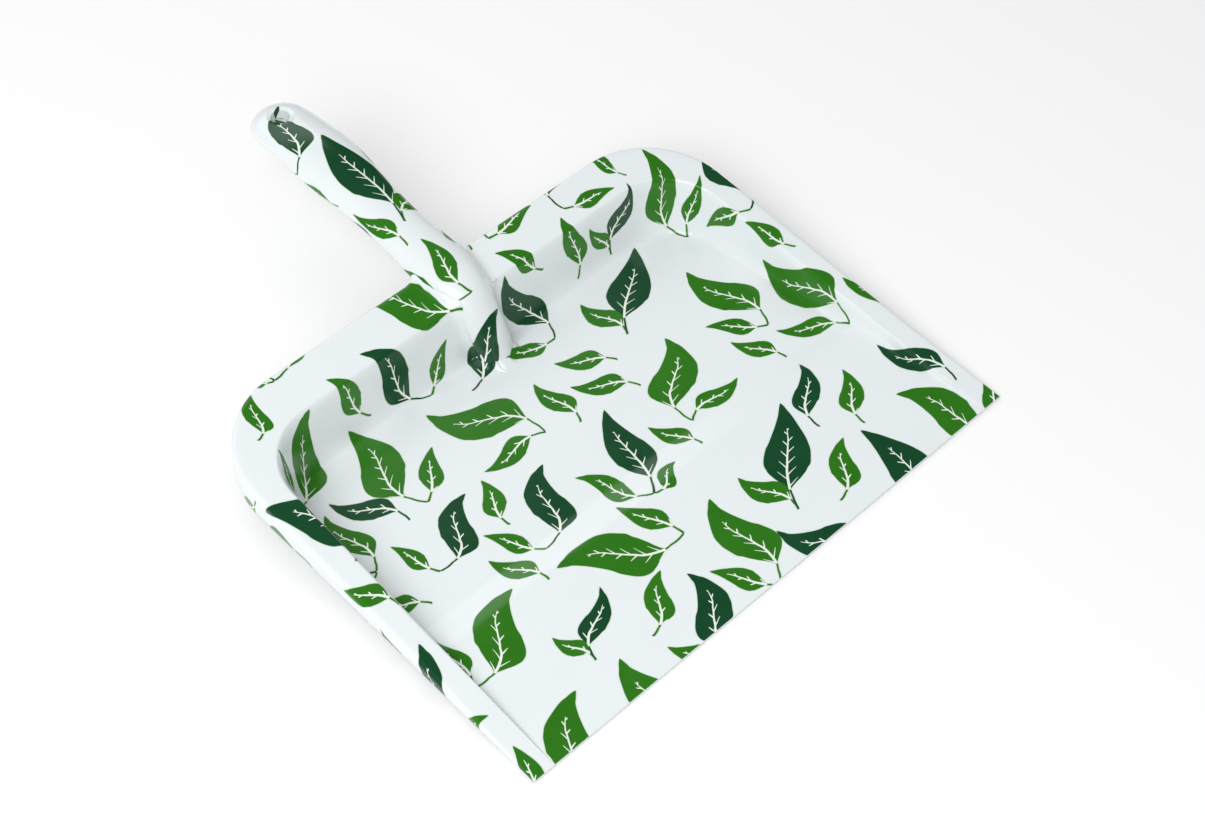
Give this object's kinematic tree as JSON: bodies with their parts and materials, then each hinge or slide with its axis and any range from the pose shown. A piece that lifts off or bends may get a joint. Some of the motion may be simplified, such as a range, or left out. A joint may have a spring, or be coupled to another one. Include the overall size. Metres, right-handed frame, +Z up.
{
  "type": "dust pan",
  "caption": "Glossy white dust pan with a leaf print, a sloping rim, a straight front lip and a hollow oval handle with a hang hole",
  "frame": {"origin": "centre of the object's footprint, on the surface that it stands on", "axes": "+Z up, +Y from the front lip towards the handle's tip, +X to the right seen from the handle"},
  "size_m": [0.2996, 0.36, 0.061],
  "materials": {
    "printed_white": "glossy white moulding with a green leaf print",
    "printed_white_handle": "glossy white moulding with a green leaf print",
    "printed_white_handle_under": "glossy white moulding",
    "screw_steel": "zinc-plated steel"
  },
  "bodies": {
    "root": {"pan_tray": "printed_white", "handle_top_shell": "printed_white_handle", "handle_bottom_shell": "printed_white_handle_under", "shell_screws": "screw_steel"}
  },
  "joints": []
}
